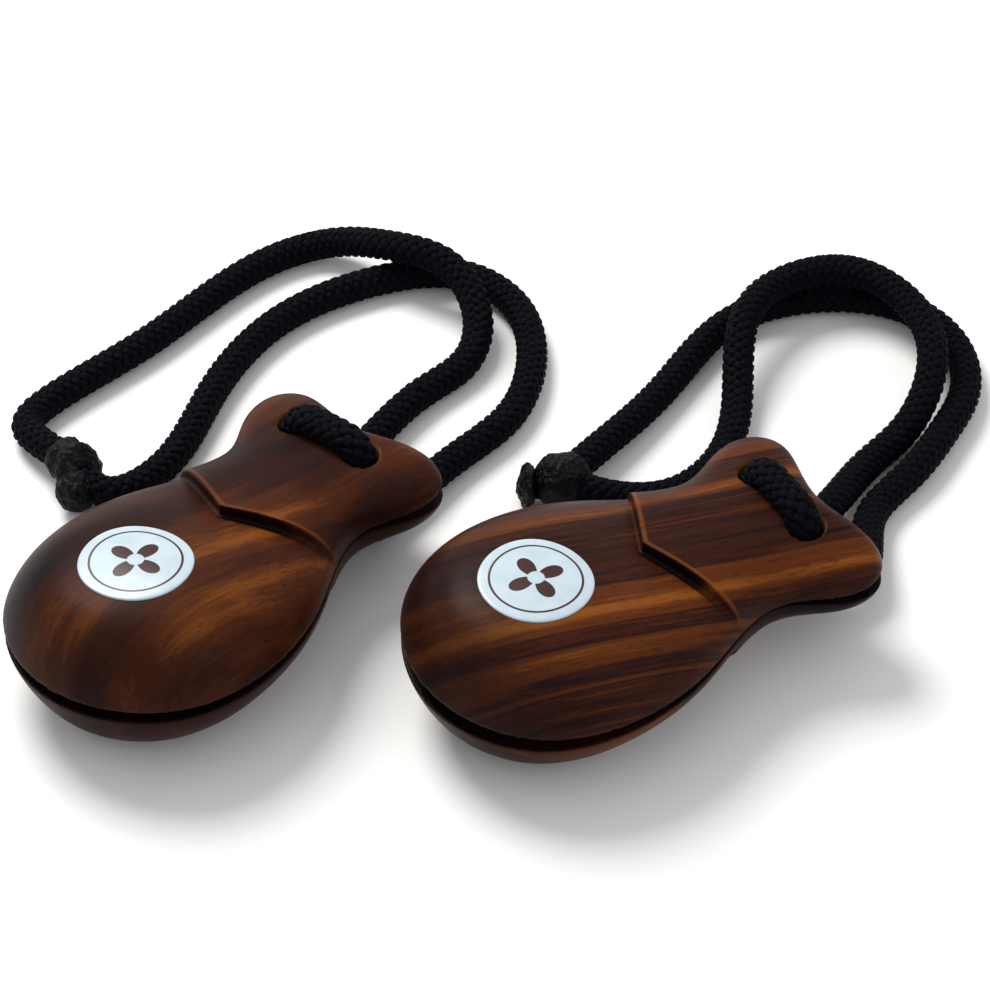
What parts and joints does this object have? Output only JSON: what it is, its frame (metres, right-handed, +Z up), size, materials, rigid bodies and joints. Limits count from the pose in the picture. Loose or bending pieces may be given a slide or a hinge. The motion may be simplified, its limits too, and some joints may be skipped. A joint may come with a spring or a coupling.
{
  "type": "castanets",
  "caption": "Pair of hand castanets: carved hardwood shells tied face to face by a braided cord that runs through their ears and is knotted into a thumb loop.",
  "frame": {"origin": "middle of the set's bounding box in plan, at table height", "axes": "+Z up, +X towards the right instrument, +Y towards the thumb loops"},
  "size_m": [0.219, 0.1802, 0.0382],
  "materials": {
    "left_wood": "satin dark rosewood",
    "right_wood": "satin striped rosewood",
    "badge": "glossy printed badge",
    "cord": "braided black cord",
    "sealed_cord": "cord soaked in dried glue"
  },
  "bodies": {
    "left_lower_shell": {"left_lower_shell": "left_wood", "left_cord_far_leg": "cord", "left_cord_near_leg": "cord"},
    "left_upper_shell": {"left_upper_shell": "left_wood", "left_badge": "badge", "left_cord_bridge": "cord"},
    "left_thumb_loop": {"left_cord_far_strand": "cord", "left_cord_near_strand": "cord", "left_cord_knot": "sealed_cord", "left_cord_ends": "sealed_cord"},
    "right_lower_shell": {"right_lower_shell": "right_wood", "right_cord_far_leg": "cord", "right_cord_near_leg": "cord"},
    "right_upper_shell": {"right_upper_shell": "right_wood", "right_badge": "badge", "right_cord_bridge": "cord"},
    "right_thumb_loop": {"right_cord_far_strand": "cord", "right_cord_near_strand": "cord", "right_cord_knot": "sealed_cord", "right_cord_ends": "sealed_cord"}
  },
  "joints": [
    {"name": "left_shell_rock", "type": "hinge", "parent": "left_lower_shell", "child": "left_upper_shell", "pos_m": [-0.04634, -0.0195, 0.01776], "axis": [-0.7841, 0.6192, -0.0419], "range_deg": [-2.15, 8]},
    {"name": "left_loop_swing", "type": "hinge", "parent": "left_lower_shell", "child": "left_thumb_loop", "pos_m": [-0.02868, 0.00196, 0.0044], "axis": [0, 0, 1], "range_deg": [-12, 12]},
    {"name": "right_shell_rock", "type": "hinge", "parent": "right_lower_shell", "child": "right_upper_shell", "pos_m": [0.04626, -0.0374, 0.02019], "axis": [-0.5088, 0.8604, 0.0297], "range_deg": [-3.05, 7.1]},
    {"name": "right_loop_swing", "type": "hinge", "parent": "right_lower_shell", "child": "right_thumb_loop", "pos_m": [0.07049, -0.02265, 0.0081], "axis": [0, 0, 1], "range_deg": [-12, 12]},
    {"name": "right_instrument_slide", "type": "slide", "parent": "left_lower_shell", "child": "right_lower_shell", "axis": [1, 0, 0], "range_m": [0, 0.06]}
  ]
}
